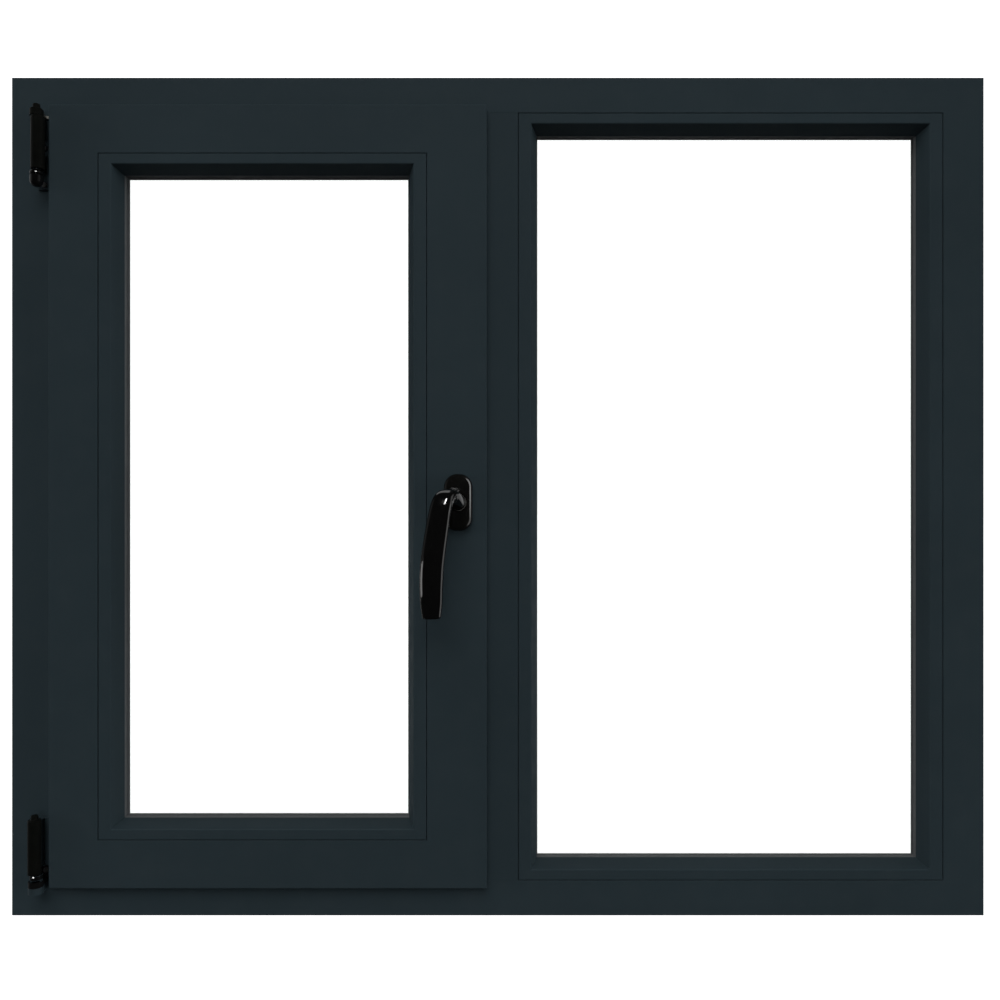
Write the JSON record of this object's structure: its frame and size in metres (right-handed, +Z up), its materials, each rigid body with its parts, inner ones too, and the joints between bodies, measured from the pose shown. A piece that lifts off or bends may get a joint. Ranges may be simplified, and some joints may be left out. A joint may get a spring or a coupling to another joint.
{
  "type": "casement window",
  "caption": "Two-light window with a tilt-and-turn sash on the left and a fixed light on the right, anthracite profiles and black fittings.",
  "frame": {"origin": "middle of the sill underside, at the middle of the frame's width and depth", "axes": "+X to the right seen from the room, +Y outdoors, +Z up"},
  "size_m": [1.16, 0.161, 1],
  "materials": {
    "anthracite_profile": "smooth matte foil on PVC profile",
    "galvanised_steel": "galvanised",
    "connector_plastic": "moulded",
    "seal_rubber": "matte EPDM",
    "window_glass": "clear float glass",
    "spacer_aluminium": "mill finish, grey",
    "packer_plastic": "moulded",
    "zinc_hardware": "zinc plated",
    "screw_steel": "zinc plated",
    "black_lacquer": "glossy black lacquer",
    "coated_fitting": "powder coated in the frame colour",
    "black_cap_plastic": "glossy black"
  },
  "bodies": {
    "frame": {"frame_head": "anthracite_profile", "frame_sill": "anthracite_profile", "frame_jamb_hinge_side": "anthracite_profile", "frame_jamb_fixed_side": "anthracite_profile", "mullion": "anthracite_profile", "frame_steel_bars": "galvanised_steel", "mullion_connectors": "connector_plastic", "frame_stop_gasket": "seal_rubber", "fixed_pane_outdoor": "window_glass", "fixed_pane_room": "window_glass", "fixed_spacer": "spacer_aluminium", "fixed_beads_level": "anthracite_profile", "fixed_beads_upright": "anthracite_profile", "fixed_gasket_outdoor": "seal_rubber", "fixed_gasket_room": "seal_rubber", "fixed_setting_blocks": "packer_plastic", "strike_plates": "zinc_hardware", "tilt_strike_plate": "zinc_hardware", "strike_screws": "screw_steel", "corner_bearing": "coated_fitting", "bearing_screws": "screw_steel", "stay_bearing": "coated_fitting", "stay_bearing_cover": "black_cap_plastic", "stay_pin": "black_lacquer", "stay_pin_cap": "black_cap_plastic", "drain_caps": "anthracite_profile"},
    "sash_carrier": {"pivot_bush": "zinc_hardware"},
    "sash": {"sash_top_rail": "anthracite_profile", "sash_bottom_rail": "anthracite_profile", "sash_hinge_stile": "anthracite_profile", "sash_handle_stile": "anthracite_profile", "sash_steel_bars": "galvanised_steel", "sash_beads_level": "anthracite_profile", "sash_beads_upright": "anthracite_profile", "sash_pane_outdoor": "window_glass", "sash_pane_room": "window_glass", "sash_spacer": "spacer_aluminium", "sash_gasket_outdoor": "seal_rubber", "sash_gasket_room": "seal_rubber", "sash_setting_blocks": "packer_plastic", "sash_overlap_gasket": "seal_rubber", "corner_band": "coated_fitting", "corner_band_cover": "black_cap_plastic", "sash_faceplate": "zinc_hardware", "corner_drives": "zinc_hardware", "stay_rail": "zinc_hardware", "gearbox_case": "zinc_hardware", "handle_base": "zinc_hardware", "rosette_cover": "black_cap_plastic", "handle_screws": "screw_steel"},
    "handle": {"handle_lever": "black_lacquer", "handle_spindle": "screw_steel", "drive_pinion": "zinc_hardware"},
    "drive_rod": {"drive_rod": "zinc_hardware", "side_cams": "zinc_hardware"},
    "top_rod": {"top_rod": "zinc_hardware"},
    "bottom_rod": {"bottom_rod": "zinc_hardware"},
    "stay_arm": {"stay_arm": "zinc_hardware", "stay_rivet": "zinc_hardware", "stay_eye_cap": "black_cap_plastic"}
  },
  "joints": [
    {"name": "sash_turn", "type": "hinge", "parent": "frame", "child": "sash_carrier", "pos_m": [-0.541, -0.058, 0.042], "axis": [0, 0, -1], "range_deg": [0, 100]},
    {"name": "sash_tilt", "type": "hinge", "parent": "sash_carrier", "child": "sash", "pos_m": [-0.541, -0.058, 0.042], "axis": [1, 0, 0], "range_deg": [0, 8]},
    {"name": "handle_turn", "type": "hinge", "parent": "sash", "child": "handle", "pos_m": [-0.0465, -0.052, 0.493], "axis": [0, 1, 0], "range_deg": [0, 180]},
    {"name": "rod_slide", "type": "slide", "parent": "sash", "child": "drive_rod", "axis": [0, 0, -1], "range_m": [0, 0.0316]},
    {"name": "top_rod_slide", "type": "slide", "parent": "sash", "child": "top_rod", "axis": [1, 0, 0], "range_m": [0, 0.0316]},
    {"name": "bottom_rod_slide", "type": "slide", "parent": "sash", "child": "bottom_rod", "axis": [-1, 0, 0], "range_m": [0, 0.0316]},
    {"name": "stay_swing", "type": "hinge", "parent": "sash_carrier", "child": "stay_arm", "pos_m": [-0.541, -0.058, 0.951], "axis": [0, 0, -1], "range_deg": [0, 19]}
  ],
  "couplings": [
    {"joint": "rod_slide", "follows": "handle_turn", "m_per_rad": 0.01},
    {"joint": "top_rod_slide", "follows": "handle_turn", "m_per_rad": 0.01},
    {"joint": "bottom_rod_slide", "follows": "handle_turn", "m_per_rad": 0.01},
    {"joint": "stay_swing", "follows": "sash_tilt", "ratio": 2.359}
  ]
}
